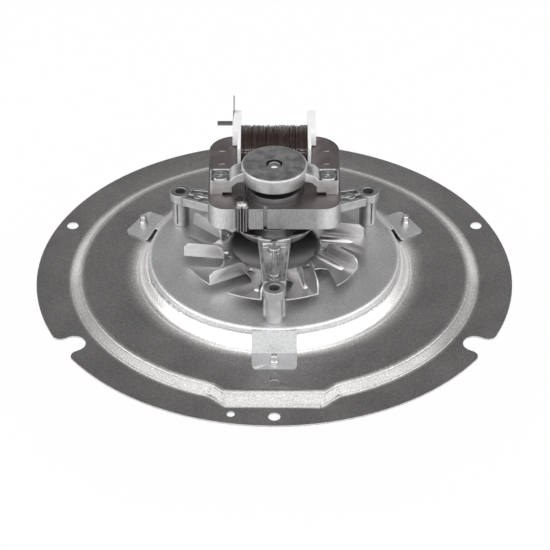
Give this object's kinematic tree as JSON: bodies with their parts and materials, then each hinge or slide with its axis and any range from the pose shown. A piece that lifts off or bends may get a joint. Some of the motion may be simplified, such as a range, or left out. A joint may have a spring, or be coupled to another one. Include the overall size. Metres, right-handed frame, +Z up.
{
  "type": "oven fan motor",
  "caption": "Shaded-pole fan motor with a coil on its rear limb and a sheet cooling fan, carried by a three-legged casting on a round stepped mounting plate.",
  "frame": {"origin": "on the shaft's axis, in the plane of the underside of the plate's rim", "axes": "+Z up along the shaft from the oven side to the motor, +Y towards the coil, +X to the right when the coil is at the back"},
  "size_m": [0.22, 0.22, 0.0841],
  "materials": {
    "plate_steel": "zinc-coated sheet, satin, fine speckle",
    "pan_steel": "bright sheet, blurred reflections",
    "rivet_steel": "bright",
    "screw_steel": "bright zinc plate",
    "casting": "die cast, satin",
    "lamination": "stamped electrical steel, dark on top, brushed on the edges",
    "shading_metal": "tinned copper strip",
    "bobbin_plastic": "white moulded",
    "winding_wire": "enamelled wire, near black brown",
    "terminal_metal": "tinned",
    "bearing_bronze": "sintered, oiled",
    "felt": "oiled felt",
    "spring_steel": "plain",
    "shaft_steel": "ground",
    "cage_metal": "cast",
    "washer_plastic": "plain",
    "fan_steel": "bright sheet",
    "hub_metal": "turned"
  },
  "bodies": {
    "frame": {"main_plate": "plate_steel", "motor_pan": "pan_steel", "pan_rivets": "rivet_steel", "post_screws": "screw_steel", "lower_bracket": "casting", "stator_stack": "lamination", "coil_core": "lamination", "shading_ring_front": "shading_metal", "shading_ring_rear": "shading_metal", "bobbin": "bobbin_plastic", "coil_winding": "winding_wire", "side_terminal": "terminal_metal", "top_terminal": "terminal_metal", "upper_bridge": "casting", "bridge_screws": "screw_steel", "upper_bearing": "bearing_bronze", "lower_bearing": "bearing_bronze", "upper_felt": "felt", "lower_felt": "felt", "upper_retainer": "spring_steel", "lower_retainer": "spring_steel"},
    "rotor": {"shaft": "shaft_steel", "rotor_core": "lamination", "rotor_cage": "cage_metal", "thrust_washers": "washer_plastic", "cooling_fan": "fan_steel", "fan_hub": "hub_metal"}
  },
  "joints": [
    {"name": "rotor_spin", "type": "hinge", "parent": "frame", "child": "rotor", "pos_m": [0, 0, 0], "axis": [0, 0, 1], "continuous": true}
  ]
}
